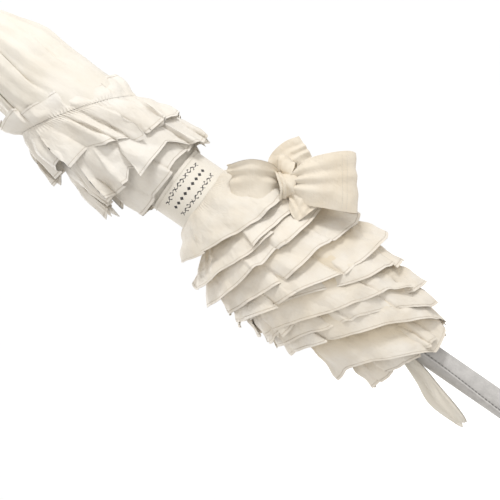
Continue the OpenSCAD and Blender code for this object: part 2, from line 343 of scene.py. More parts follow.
def leather_material(name, tint):
    """Silver-grey leather with a fine pebble grain, paler on the pebble tops and darker in the grooves
    between them.
    """
    mat, tree, bsdf = new_material(name)
    solid = object_place(tree)
    pebble = times(tree, cell_edges(tree, solid, 1150.0), 2.6, clamp=True)
    wide = noise(tree, solid, 120.0, 4.0)
    tone = plus(tree, times(tree, pebble, 0.35), times(tree, wide, 0.65))
    greys = ((0.25, 0.40), (0.6, 0.52), (0.85, 0.62))
    stops = [(at, tuple(tint * grey * cast for cast in LEATHER_CAST)) for at, grey in greys]
    tree.links.new(colour_ramp(tree, tone, stops), bsdf.inputs["Base Color"])
    bsdf.inputs["Roughness"].default_value = 0.46
    bsdf.inputs["Specular IOR Level"].default_value = 0.5
    first = add_bump(tree, bsdf, wide, 0.0006, 0.3)
    add_bump(tree, bsdf, pebble, 0.00018, 0.7, first)
    return mat


def metal_material(name, colour, rough, brushed=True):
    """Plated metal: fine marks along the part and a little uneven polish."""
    mat, tree, bsdf = new_material(name)
    scale = (900, 900, 30) if brushed else (300, 300, 300)
    marks = noise(tree, mapped(tree, object_place(tree), scale), 1.0, 3.0)
    bsdf.inputs["Metallic"].default_value = 1.0
    stops = [(0.3, tuple(c * 0.86 for c in colour)), (0.7, colour)]
    tree.links.new(colour_ramp(tree, marks, stops), bsdf.inputs["Base Color"])
    spread = plus(tree, times(tree, marks, 0.12), rough - 0.06)
    tree.links.new(spread, bsdf.inputs["Roughness"])
    add_bump(tree, bsdf, marks, 0.00003, 0.5)
    return mat


def plastic_material():
    mat, tree, bsdf = new_material("ivory_plastic")
    solid = object_place(tree)
    fine = noise(tree, solid, 1500.0, 2.0)
    wide = noise(tree, solid, 45.0, 2.0)
    stops = [(0.3, (0.74, 0.72, 0.66)), (0.7, (0.8, 0.78, 0.73))]
    tree.links.new(colour_ramp(tree, wide, stops), bsdf.inputs["Base Color"])
    bsdf.inputs["Roughness"].default_value = 0.42
    add_bump(tree, bsdf, fine, 0.00005, 0.5)
    return mat


def wood_material():
    mat, tree, bsdf = new_material("turned_wood")
    grain = noise(tree, mapped(tree, object_place(tree), (260, 260, 18)), 1.0, 5.0)
    stops = [(0.3, (0.3, 0.19, 0.1)), (0.7, (0.5, 0.36, 0.22))]
    tree.links.new(colour_ramp(tree, grain, stops), bsdf.inputs["Base Color"])
    bsdf.inputs["Roughness"].default_value = 0.55
    add_bump(tree, bsdf, grain, 0.0002, 0.4)
    return mat


# -------------------- mesh helpers
def step_lengths(line):
    return np.linalg.norm(np.diff(line, axis=0), axis=1)


def line_length(line):
    return float(step_lengths(line).sum())


def distances(line):
    """How far along a line of points each point lies."""
    return np.concatenate([[0], np.cumsum(step_lengths(line))])


def ripple(turns, seed, waves, size):
    """A smooth value round the bundle that closes on itself: a sum of a few seeded waves."""
    draw = np.random.default_rng(seed)
    total = np.zeros_like(turns)
    for count in waves:
        total += draw.uniform(0.5, 1.0) * np.sin(2 * np.pi * (count * turns + draw.uniform()))
    return size * total / len(waves)


def sharp_wave(phase, edge=0.96):
    """A rounded zigzag, sharper as edge nears 1."""
    return np.arcsin(edge * np.sin(phase)) / math.asin(edge)


def smooth(x, low, high):
    """Rises from 0 at low to 1 at high, level at both ends."""
    t = np.clip((x - low) / (high - low), 0, 1)
    return t * t * (3 - 2 * t)


def add_object(name, block, material):
    """A smooth object from a block: its vertices, faces, normals and map coordinates."""
    verts, faces, normals, uv = block
    mesh = bpy.data.meshes.new(name)
    mesh.from_pydata(verts.tolist(), [], faces.tolist())
    mesh.materials.append(material)
    layer = mesh.uv_layers.new(name="UVMap")
    index = np.empty(len(mesh.loops), dtype=np.int32)
    mesh.loops.foreach_get("vertex_index", index)
    layer.data.foreach_set("uv", uv[index].astype(np.float32).ravel())
    mesh.polygons.foreach_set("use_smooth", np.ones(len(mesh.polygons), dtype=bool))
    mesh.update()
    mesh.normals_split_custom_set_from_vertices(normals.tolist())
    obj = bpy.data.objects.new(name, mesh)
    bpy.context.scene.collection.objects.link(obj)
    return obj


def grid_faces(rows, cols, start=0, flip=False):
    r, c = np.meshgrid(np.arange(rows - 1), np.arange(cols - 1), indexing="ij")
    a = (r * cols + c).ravel() + start
    quads = np.stack([a, a + 1, a + cols + 1, a + cols], axis=1)
    return quads[:, ::-1] if flip else quads


def grid_normals(points, closed=False):
    """Unit normals of a grid of points; closed joins the last column to the first."""
    if closed:
        across = np.roll(points, -1, axis=1) - np.roll(points, 1, axis=1)
    else:
        across = np.gradient(points, axis=1)
    along = np.gradient(points, axis=0)
    normal = np.cross(across, along)
    return normal / (np.linalg.norm(normal, axis=2, keepdims=True) + 1e-12)


def mean_distances(grid, axis):
    """How far along one axis of a grid its points lie, averaged over the other."""
    steps = np.linalg.norm(np.diff(grid, axis=axis), axis=2).mean(axis=1 - axis)
    return np.concatenate([[0], np.cumsum(steps)])


def grid_area(points):
    a, b = points[:-1, :-1], points[:-1, 1:]
    c, d = points[1:, 1:], points[1:, :-1]
    halves = np.cross(b - a, c - a), np.cross(c - a, d - a)
    return float(sum(np.linalg.norm(half, axis=2).sum() / 2 for half in halves))


def cloth_block(points, normal, coords, thickness):
    """A block of mesh: the grid given a real thickness, closed all round."""
    rows, cols = points.shape[:2]
    front = (points + normal * thickness / 2).reshape(-1, 3)
    rear = (points - normal * thickness / 2).reshape(-1, 3)
    count = rows * cols
    flat = normal.reshape(-1, 3)
    border = np.concatenate([
        np.arange(cols), np.arange(1, rows) * cols + cols - 1,
        (rows - 1) * cols + np.arange(cols - 2, -1, -1), np.arange(rows - 2, 0, -1) * cols])
    after = np.roll(border, -1)
    rim = np.stack([border, border + count, after + count, after], axis=1)
    faces = np.concatenate([grid_faces(rows, cols), grid_faces(rows, cols, count, True), rim])
    uv = coords.reshape(-1, 2)
    return np.concatenate([front, rear]), faces, np.concatenate([flat, -flat]), np.concatenate([uv, uv])


def join_blocks(blocks):
    verts, faces, normals, coords = zip(*blocks)
    starts = np.cumsum([0] + [len(v) for v in verts[:-1]])
    faces = [f + start for f, start in zip(faces, starts)]
    return [np.concatenate(part) for part in (verts, faces, normals, coords)]


# -------------------- the bundled cloth
STEPS = 72  # columns of points over one gore
ROWS = 15  # rows of points down one flounce
TURNS = np.arange(GORES * STEPS) / (GORES * STEPS)  # place of each column, in turns round the shaft
CLOTH_T = 0.45 * MM
HEM_DEPTH = 3.2 * MM
FOLD_R = 60 * MM  # mean radius at which folds are laid out
TUCKED = 0.3  # a rib whose cloth lies less far out than this is tucked in
MEAN_OUT = 0.7  # how far out a hem without folds would lie
HEAP = 14 * MM  # extra radius below the band, on the -X side
LOW_SHIFT = 6 * MM  # how far the lowest hems shift towards -X
GATHERS = 130
LOWER_TIERS = 9

# Outer edge of the bundle and the core its cloth is sewn to: heights above the hem, and radii, in millimetres
OUTER = np.array([
    [-10, 30], [0, 40], [15, 51], [30, 57], [60, 64], [90, 71], [125, 76], [155, 79], [180, 78], [205, 72],
    [232, 61], [252, 48], [264, 37], [302, 35], [312, 46], [330, 58], [350, 64], [380, 63], [410, 58],
    [440, 52], [500, 45], [540, 36], [575, 26], [592, 20]])
CORE = np.array([
    [-10, 16], [0, 18], [30, 34], [90, 50], [155, 58], [200, 50], [232, 40], [252, 35], [268, 33], [302, 33],
    [320, 35], [350, 40], [400, 47], [440, 49], [500, 43], [540, 35], [575, 25], [592, 19], [597, 16],
    [602, 13.6]])

# What a flounce tier has unless it says otherwise; heights are above the hem, angles in radians
TIER = dict(
    tucks=1.0,  # share of ribs where the cloth is tucked in
    creased=0.0,  # share of gores with a crease near the middle
    twist=0.0,  # how far the folds wander round the bundle
    swing=0.0,  # turns the side where the hem hangs lowest
    lowest=-0.02,  # the lowest the hem hangs, before its folds jog it
    top_lean=0.0,  # how much lower the sewn edge lies on the +X side
    boost=0.0,  # extra radius on the side of BOOST_ANGLE
    slump=0.0,  # how far the hem shifts towards -X
    top_gap=1.4 * MM,  # the sewn edge's distance from the core
    bow=1.0,  # 1 hangs straight, less swells near the top
    puff=2.0 * MM,  # how far the middle swells
    crumple=0.95 * MM)
BOOST_ANGLE = 3.5


def tier(**given):
    return {**TIER, **given}


def outer_r(height):
    return np.interp(height / MM, OUTER[:, 0], OUTER[:, 1]) * MM


def core_r(height):
    return np.interp(height / MM, CORE[:, 0], CORE[:, 1]) * MM


def ring_points(angle, radius, z):
    return np.stack([radius * np.cos(angle), radius * np.sin(angle), z], axis=-1)


def to_points(angle, radius, height):
    return ring_points(angle, radius, HEM + height)


def bundle_shape(turns):
    """Wide from side to side, flatter front and back, with pinched edges at the sides."""
    angle = 2 * np.pi * turns
    side = np.abs(np.cos(angle))
    return 0.86 + 0.1 * side ** 2 + 0.06 * side ** 10


def canopy_free(height):
    """How loosely the canopy hangs: free between the upper ruffle and the crown, bound elsewhere."""
    return smooth(height, 0.44, 0.50) * (1 - smooth(height, 0.54, 0.595))


def round_off(values, width):
    """Rounds a closed line of column values over a few columns either side."""
    kernel = np.hanning(2 * width + 3)[1:-1]
    wrapped = np.concatenate([values[-width:], values, values[:width]])
    return np.convolve(wrapped, kernel / kernel.sum(), mode="valid")


def gore_corners(spec, draw, ribs):
    """Fold corners across one gore: share of the gore's width, how far out, and how far up."""
    count = int(draw.choice(spec["panels"]))
    edges = np.linspace(0, 1, count + 1)
    edges[1:-1] += draw.uniform(-0.18, 0.18, count - 1)
    corners = [(0.0, ribs[0], 0.0)]

    def add_corner(start, width, shift, out, up=1.0):
        place = start + width * draw.uniform(*shift)
        corners.append((place, draw.uniform(*out), draw.uniform(-up, up)))

    for low, high in zip(edges[:-1], edges[1:]):
        wide = high - low
        if low > 0 or ribs[0] < TUCKED:
            add_corner(low, wide, (0.02, 0.2), (0.35, 0.8))
        add_corner(low, wide, (0.35, 0.65), (0.6, 1.0))
        if high < 1 or ribs[1] < TUCKED:
            add_corner(high, wide, (0, spec["over"]), (0.8, 1.2))
        if high < 1:
            add_corner(high, -wide, (0, 0.2), (0, 0.2), 0.5)
    corners.append((1.0, ribs[1], 0.0))
    if draw.uniform() < spec["creased"]:
        middle, rise = draw.uniform(0.25, 0.75), draw.choice((-0.5, 0.45))
        corners = [c for c in corners if abs(c[0] - middle) > 0.12]
        corners += [(middle - 0.07, 0.72, 0.1), (middle, 0.72 + rise, 0.5 * rise)]
        corners.append((middle + 0.06, 0.75, -0.1))
        corners.sort()
    return corners


def fold_line(spec):
    """Angle, how far out and how far up the hem lies at every column, from folds made gore by gore."""
    draw = np.random.default_rng(spec["seed"])
    tucked = draw.uniform(size=GORES) < spec["tucks"]
    ribs = np.where(tucked, 0.05, draw.uniform(0.55, 0.9, GORES))
    parts = []
    for k in range(GORES):
        pair = (ribs[k], ribs[(k + 1) % GORES])
        turned = draw.uniform() < spec["mixed"]
        corners = gore_corners(spec, draw, pair[::-1] if turned else pair)
        if turned:
            corners = [(1 - a, out, up) for a, out, up in corners[::-1]]
        corners = np.array(corners)
        scale = np.array([FOLD_R * SECTOR, spec["depth"], spec["jog"]])
        length = distances(corners * scale)
        along = np.linspace(0, length[-1], STEPS + 1)[:-1]
        share, out, up = (np.interp(along, length, corners[:, axis]) for axis in range(3))
        parts.append(((k + share) * SECTOR, out, up))
    angle, out, up = (np.concatenate(values) for values in zip(*parts))
    base = 2 * np.pi * TURNS
    soft = spec["soft"]
    return base + round_off(angle - base, soft), round_off(out, soft), round_off(up, soft)


def crumple(grid, seed, size):
    """Small dents that run through the cloth, as offsets along the normal."""
    waves, full_reach = 10, 0.05
    draw = np.random.default_rng(seed)
    total = np.zeros(grid.shape[:2])
    for _ in range(waves):
        reach = draw.uniform(0.012, 0.035)
        way = draw.normal(size=3)
        way *= 2 * np.pi / reach / np.linalg.norm(way)
        total += reach * sharp_wave(grid @ way + draw.uniform(0, 6.28), 0.9)
    return grid + grid_normals(grid, closed=True) * (size * total / full_reach)[..., None]


def tier_grid(spec):
    """Points of one flounce as a grid: rows from the gathered edge to the hem, columns round the bundle."""
    seed = spec["seed"]
    base = 2 * np.pi * TURNS
    angle, out, up = fold_line(spec)
    angle = angle + spec["twist"] * np.sin(2 * base + seed)
    jog = ripple(TURNS, seed + 1, (2, 3, 5), spec["drift"])
    hem = spec["hem"] - spec["lean"] * np.cos(angle + spec["swing"]) + jog
    hem = np.maximum(hem, spec["lowest"]) + spec["jog"] * up
    if "fixed_top" in spec:
        top = spec["fixed_top"] - spec["top_lean"] * np.cos(base)
    else:
        top = np.minimum(hem + spec["drop"], spec["top"])
    reach = spec["reach"] if "reach" in spec else outer_r(hem) * spec["flare"]
    radius = reach * bundle_shape(angle / (2 * np.pi)) + spec["depth"] * (out - MEAN_OUT)
    radius = radius - LOW_SHIFT * np.cos(angle) * (1 - smooth(hem, 0.05, 0.12))
    heap = smooth(hem, 0.17, 0.225) * (1 - smooth(hem, 0.255, 0.285))
    radius = radius + HEAP * heap * np.clip(-np.cos(angle), 0, 1) ** 2
    radius = radius + spec["boost"] * np.clip(np.cos(angle - BOOST_ANGLE), 0, 1) ** 12
    radius = radius - spec["slump"] * np.cos(angle)
    hem_line = to_points(angle, radius, hem)
    top_line = to_points(base, core_r(top) + spec["top_gap"], top)
    length = float(np.linalg.norm(hem_line - top_line, axis=1).mean())
    v = np.concatenate([np.linspace(0, 1 - HEM_DEPTH / length, ROWS - 1), [1.0]])[:, None]
    spread = v ** spec["bow"]
    puff = 1 + spec["puff"] * np.sin(np.pi * v ** 0.8) / FOLD_R
    gathers = np.sin(2 * np.pi * GATHERS * TURNS + 3 * np.sin(9 * base))
    gather = 1 + 0.015 * np.exp(-(v / 0.14) ** 2) * gathers[None, :]
    flat = top_line[None] * (1 - spread[..., None]) + hem_line[None] * spread[..., None]
    flat[..., :2] *= (puff * gather)[..., None]
    flat[..., 2] = top_line[None, :, 2] * (1 - v) + hem_line[None, :, 2] * v
    return crumple(flat, seed + 9, spec["crumple"] * np.minimum(1, 4 * v))


def map_coords(grid):
    """Distances in metres across the cloth and up from its hem, for the weave and the hem's stitches."""
    x = mean_distances(np.concatenate([grid, grid[:, :1]], axis=1), 1)[:-1]
    y = mean_distances(grid, 0)
    return np.stack(np.broadcast_arrays(x[None, :], (y[-1] - y)[:, None]), axis=2)


def split_gores(grid):
    """Yields each gore's number, points, normals and map coordinates; end columns are shared."""
    normal = grid_normals(grid, closed=True)
    coords = map_coords(grid)
    columns = grid.shape[1]
    for k in range(GORES):
        index = np.arange(k * STEPS, (k + 1) * STEPS + 1)
        wrap = index % columns
        local = coords[:, wrap].copy()
        if index[-1] >= columns:
            local[:, -1, 0] = coords[:, -1, 0] + (coords[:, 1, 0] - coords[:, 0, 0])
        yield k, grid[:, wrap], normal[:, wrap], local


def gore_object(name, k, blocks, material, area, width, replaced):
    """The cloth over one gore as one piece; the CAD part it stands in for is hidden."""
    obj = add_object(name, join_blocks(blocks), material)
    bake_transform(obj)
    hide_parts(replaced)


def build_tiers(name, tiers, material):
    """Joins every tier's stretch over each gore into one piece per gore."""
    made = [([], [], []) for _ in range(GORES)]
    for spec in tiers:
        for k, points, normal, coords in split_gores(tier_grid(spec)):
            blocks, areas, widths = made[k]
            blocks.append(cloth_block(points, normal, coords, CLOTH_T))
            areas.append(grid_area(points))
            widths.append(line_length(points[-1]))
    for k, (blocks, areas, widths) in enumerate(made):
        gore_object(f"{name}_{k + 1}", k, blocks, material, sum(areas), max(widths), f"flounces_{k + 1}")


def cape_tier():
    """The cloth that flares out from under the band."""
    return [tier(seed=100, hem=0.226, lean=0.026, jog=2 * MM, drift=2 * MM, fixed_top=0.270, flare=1.04,
                 panels=(1, 1, 2), over=0.12, mixed=0.4, tucks=0.6, soft=7, depth=5 * MM, bow=0.9,
                 top_gap=0.4 * MM, swing=0.3, crumple=1.0 * MM)]


def lower_tiers():
    """The flounces below the cape, down to the hem, and small frills that show between them."""
    tiers = []
    draw = np.random.default_rng(7)
    for i in range(LOWER_TIERS):
        part = i / (LOWER_TIERS - 1)
        broad = part > 0.8
        uneven = draw.uniform(-6, 6) * MM * (part < 1)
        tiers.append(tier(
            seed=114 + 10 * i, hem=0.203 - 0.170 * part - 0.030 * (part == 1) + uneven,
            lean=0.022 + 0.033 * smooth(part, 0.22, 0.6) + draw.uniform(-3, 3) * MM * (part < 1),
            jog=3.5 * MM, drift=6 * MM, drop=0.060, top=0.240, flare=1.0 + 0.03 * (i % 2),
            panels=(1,) if broad else (1, 1, 1, 2), over=0.32, mixed=0.3, tucks=0.25 if broad else 0.45,
            creased=0.1 if broad else 0.4, soft=3, depth=(6.5 if broad else 8.5) * MM,
            lowest=-0.004 + 0.0022 * (LOWER_TIERS - 1 - i), swing=0.3 - 0.35 * part, bow=1.1))
    frills = ((0.008, 0.016, 0.93, 0.0, (2, 3)), (0.100, 0.034, 0.84, 17 * MM, (4, 5)))
    for n, (hem, lean, flare, boost, panels) in enumerate(frills):
        tiers.append(tier(seed=205 + n, hem=hem, lean=lean, jog=4 * MM, drift=3 * MM, drop=0.045, top=0.2,
                          flare=flare, panels=panels, over=0.45, mixed=0.5, soft=2, depth=8 * MM,
                          lowest=-0.008, boost=boost))
    return tiers


def upper_tiers():
    """The ruffles above the band, with crisp folds: a cuff against it, two layers, and a heading frill."""
    cuff = tier(seed=298, hem=0.308, lean=0.0, jog=3 * MM, drift=2 * MM, fixed_top=0.365, reach=46 * MM,
                panels=(1, 2), over=0.15, mixed=0.5, soft=6, depth=6 * MM, bow=0.8, lowest=0.304)
    low = tier(seed=304, hem=0.326, lean=0.018, jog=12 * MM, drift=6 * MM, fixed_top=0.385, top_lean=0.024,
               reach=58 * MM, panels=(1, 2, 2), over=0.5, mixed=0.5, soft=1, depth=12 * MM, lowest=0.306,
               bow=0.85, puff=3 * MM, slump=8 * MM, creased=0.4, twist=0.22)
    high = tier(seed=326, hem=0.368, lean=0.036, jog=13 * MM, drift=7 * MM, fixed_top=0.418, top_lean=0.036,
                reach=63 * MM, panels=(1, 1, 2), over=0.5, mixed=0.5, soft=1, depth=15 * MM, lowest=0.330,
                bow=0.75, puff=3 * MM, slump=6 * MM, creased=0.5, twist=0.32)
    frill = tier(seed=341, hem=0.444, lean=0.036, jog=7 * MM, drift=5 * MM, fixed_top=0.4185, top_lean=0.036,
                 reach=52 * MM, panels=(1, 2), over=0.3, mixed=0.5, soft=1, depth=12 * MM, bow=0.8,
                 slump=4 * MM)
    return [cuff, low, high, frill]


def build_canopy(material):
    """The canopy itself, from the crown down inside the flounces, with one broad lapped fold to a gore."""
    rows = 60
    height = np.linspace(CANOPY_TOP - HEM + 1 * MM, 0.012, rows)[:, None]
    free = canopy_free(height)
    angle, out, _ = fold_line(tier(seed=17, panels=(1,), over=0.2, mixed=0.0, soft=5, depth=9 * MM, jog=0.0))
    base = 2 * np.pi * TURNS
    ply = sharp_wave(3 * GORES * base + 40 * height, 0.85)
    radius = core_r(height) + free * 9 * MM * (out - 0.45) + 0.6 * MM * ply * (0.3 + free)
    radius = radius * (1 + 0.10 * free * np.cos(base - 0.2))
    turned = base + (angle - base) * (0.15 + 0.85 * free) + 0.25 * free * (height - 0.5) / 0.06
    grid = crumple(to_points(turned, radius, height + 0 * base), 19, 0.35 * MM)
    for k, points, normal, coords in split_gores(grid):
        gore_object(f"canopy_{k + 1}", k, [cloth_block(points, normal, coords, CLOTH_T)], material,
                    grid_area(points), line_length(points[rows // 3]), f"gore_{k + 1}")


def build_crown_cloth(material):
    """The cloth gathered over the crown, from the cap nut down onto the canopy's top edge."""
    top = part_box("ferrule_nut")[1][2] + 0.7 * MM
    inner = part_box("ferrule_nut")[1][0] + 0.6 * MM
    low = CANOPY_TOP - 3 * MM
    outer = float(core_r(low - HEM)) + 1.3 * MM
    turns = (np.arange(241) / 240)[None, :]
    v = np.linspace(0, 1, 11)[:, None]
    pleat = sharp_wave(2 * np.pi * 3 * GORES * turns)
    radius = inner + (outer - inner) * v ** 0.75 + 0.5 * MM * v * pleat
    grid = to_points(2 * np.pi * turns, radius, top - HEM + (low - top) * v + 0 * turns)
    piece = strip_object("crown_cloth", grid, material, CLOTH_T)
    length = line_length(grid[:, 0])
    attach(piece, "root")
    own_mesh(piece)


# -------------------- closure band
def band_material():
    """Satin strap printed with two leafy borders and a row of small lozenges between."""
    mat, tree, bsdf = new_material("printed_band")
    uv = node(tree, "ShaderNodeUVMap").outputs["UV"]
    split = node(tree, "ShaderNodeSeparateXYZ")
    tree.links.new(uv, split.inputs[0])
    x, y = split.outputs[0], split.outputs[1]
    ink = 0.0
    for row, centre in ((-1, -9.5 * MM), (1, 11.5 * MM)):
        bend = times(tree, times(tree, x, x), row * -2.2)
        level = minus(tree, minus(tree, y, centre), bend)
        ink = math_node(tree, "MAXIMUM", scroll_mask(tree, x, level, 28 * MM), ink)
    for place in range(-24, 25, 6):
        dx = size_of(tree, minus(tree, x, place * MM))
        dy = size_of(tree, minus(tree, y, 1.0 * MM))
        lozenge = math_node(tree, "LESS_THAN", plus(tree, dx, dy), 2.1 * MM)
        ink = math_node(tree, "MAXIMUM", ink, lozenge)
    slub = noise(tree, mapped(tree, uv, (300, 1600, 1)), 1.0, 2.0)
    ground = colour_ramp(tree, slub, [(0.3, (0.83, 0.785, 0.7)), (0.7, (0.89, 0.85, 0.78))])
    printed = mix_colours(tree, ink, ground, (0.035, 0.033, 0.035))
    tree.links.new(printed, bsdf.inputs["Base Color"])
    bsdf.inputs["Roughness"].default_value = 0.48
    bsdf.inputs["Sheen Weight"].default_value = 0.2
    first = add_bump(tree, bsdf, slub, 0.0002, 0.5)
    add_bump(tree, bsdf, weave_height(tree, uv, 0.0005), 0.00008, 0.6, first)
    return mat


def scroll_mask(tree, x, y, end):
    """A leafy border: a thin wave that swells and breaks into leaves."""
    away = size_of(tree, x)
    inside = math_node(tree, "LESS_THAN", away, end)
    wave = times(tree, math_node(tree, "SINE", times(tree, away, 760.0)), 1.2 * MM)
    beat = size_of(tree, math_node(tree, "SINE", times(tree, away, 560.0)))
    width = plus(tree, times(tree, beat, 0.5 * MM), 0.2 * MM)
    stem = math_node(tree, "LESS_THAN", size_of(tree, minus(tree, y, wave)), width)
    leaf_y = size_of(tree, plus(tree, y, times(tree, wave, 1.9)))
    leaf = math_node(tree, "LESS_THAN", leaf_y, times(tree, minus(tree, beat, 0.55), 1.5 * MM))
    return times(tree, inside, math_node(tree, "MAXIMUM", stem, leaf))


def build_band(material, thread):
    """The strap round the bundle: a ring with edge hems, a little cinched and uneven."""
    around, rows = 240, 13
    front = -math.pi / 2
    turns = np.arange(around + 1)[None, :] / around
    angle = front + math.pi + 2 * math.pi * turns
    v = np.linspace(-1, 1, rows)[:, None]
    edge = smooth(np.abs(v), 0.86, 1.0)
    radius = BAND_R - 0.3 * MM + 0.5 * MM * edge + ripple(turns % 1.0, 41, (3, 5), 0.5 * MM)
    half = (BAND_HIGH - BAND_LOW) / 2
    slant = -1.0 * MM * np.cos(angle)
    grid = ring_points(angle, radius, BAND_MID + half * v + slant)
    arc = (turns - 0.5) * 2 * math.pi * BAND_R
    coords = np.stack(np.broadcast_arrays(arc, half * v), axis=2)
    normal = grid_normals(grid)
    normal = normal * np.sign((normal[..., :2] * grid[..., :2]).sum(axis=2))[..., None]
    band = add_object("band_strap", cloth_block(grid, normal, coords, 0.9 * MM), material)
    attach(band, "gore_3")
    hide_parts("closure_band")
    squash_strap(band)
    for side, name in ((-1, "band_stitch_low"), (1, "band_stitch_high")):
        level = BAND_MID + side * (half - 3.6 * MM)
        line = ring_points(angle[0], radius[0] + 0.55 * MM, level + slant[0])
        stitches = stitch_row(name, line, 2.6 * MM, 0.28 * MM, thread)
        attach(stitches, "gore_3")
        squash_strap(stitches)


def squash_strap(piece):
    """Gives the strap its own copy of its mesh."""
    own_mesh(piece)


def stitch_row(name, line, pitch, radius, material):
    """Short thread stitches along a line: each a slim bar with rounded ends, sunk at both ends."""
    length = distances(line)
    spots = np.linspace(-1, 1, 5)
    swell = radius * np.sqrt(np.clip(1 - spots ** 2 * 0.9, 0, 1))
    blocks = []
    for i in range(max(int(length[-1] / pitch), 1)):
        ends = (i + 0.5) * pitch + np.linspace(-0.36, 0.36, 5) * pitch
        path = np.stack([np.interp(ends, length, line[:, axis]) for axis in range(3)], axis=1)
        blocks.append(taper_tube(path, swell))
    return add_object(name, join_blocks(blocks), material)


def taper_tube(path, radii, sides=6):
    """A block of mesh: a tube along a path, with its own radius at every point and open ends."""
    step = np.gradient(path, axis=0)
    step /= np.linalg.norm(step, axis=1, keepdims=True) + 1e-12
    side = np.cross(step, np.array([0.31, 0.52, 0.79]))
    side /= np.linalg.norm(side, axis=1, keepdims=True) + 1e-12
    up = np.cross(side, step)
    angle = np.arange(sides + 1) / sides * 2 * np.pi
    ring = np.cos(angle)[:, None, None] * side[None] + np.sin(angle)[:, None, None] * up[None]
    points = path[None] + radii[None, :, None] * ring
    rows, cols = points.shape[:2]
    return points.reshape(-1, 3), grid_faces(rows, cols), ring.reshape(-1, 3), np.zeros((rows * cols, 2))


# -------------------- strips: bow, wrist loop
RIBBON_STEPS = 60


def catmull(points, count):
    """A smooth line through the given points."""
    points = np.array(points, dtype=float)
    padded = np.concatenate([[2 * points[0] - points[1]], points, [2 * points[-1] - points[-2]]])
    where = np.linspace(0, len(points) - 1 - 1e-9, count)
    cell = where.astype(int)
    t = (where - cell)[:, None]
    a, b, c, d = (padded[cell + i] for i in range(4))
    square, cube = 2 * a - 5 * b + 4 * c - d, 3 * b - a - 3 * c + d
    return 0.5 * (2 * b + (c - a) * t + square * t ** 2 + cube * t ** 3)


def strip_grid(centre, across, widths, pleats, seed, count=RIBBON_STEPS, rows=25):
    """A ribbon along a smooth line. Pleats are a number, a depth where the ribbon is narrow, and a crown."""
    path = catmull(centre, count)
    side = catmull(across, count)
    wide = catmull([[w] for w in widths], count)[:, 0]
    step = np.gradient(path, axis=0)
    step /= np.linalg.norm(step, axis=1, keepdims=True)
    side = side - (side * step).sum(axis=1, keepdims=True) * step
    side /= np.linalg.norm(side, axis=1, keepdims=True)
    out = np.cross(step, side)
    v = np.linspace(-1, 1, rows)[:, None]
    turns = (np.arange(count) / count)[None, :]
    tight = 1 - wide / wide.max()
    number, deepest, crowned = pleats
    depth = (0.6 * MM + deepest * tight)[None, :]
    uneven = 0.3 * np.sin(2.7 * v + seed) + 0.14 * np.sin(7 * turns + 1.3 * seed + 1.5 * v)
    phase = math.pi * number * (v + uneven)
    crown = crowned * (1 - v ** 2) * (0.4 + 0.6 * tight[None, :])
    lift = depth * sharp_wave(phase) + crown + ripple(turns + 0.23 * v, seed, (2, 3, 4), 0.9 * MM)
    return path[None] + side[None] * (v * wide[None, :] / 2)[..., None] + out[None] * lift[..., None]


def strip_object(name, grid, material, thickness=0.6 * MM):
    x, y = mean_distances(grid, 1), mean_distances(grid, 0)
    coords = np.stack(np.broadcast_arrays(x[None, :], y[:, None]), axis=2)
    return add_object(name, cloth_block(grid, grid_normals(grid), coords, thickness), material)


def lay(s, depth, height):
    """A point given by its distance to the +X side, towards the viewer (-Y), and above the hem, in mm."""
    return (s * MM, -depth * MM, HEM + height * MM)


def bow_strip(name, points, across, widths, pleats, seed, material):
    centre = [lay(*p) for p in points]
    grid = strip_grid(centre, across, [w * MM for w in widths], pleats, seed)
    obj = strip_object(name, grid, material)
    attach(obj, "gore_8")
    length = line_length(catmull(centre, RIBBON_STEPS))
    return obj, grid


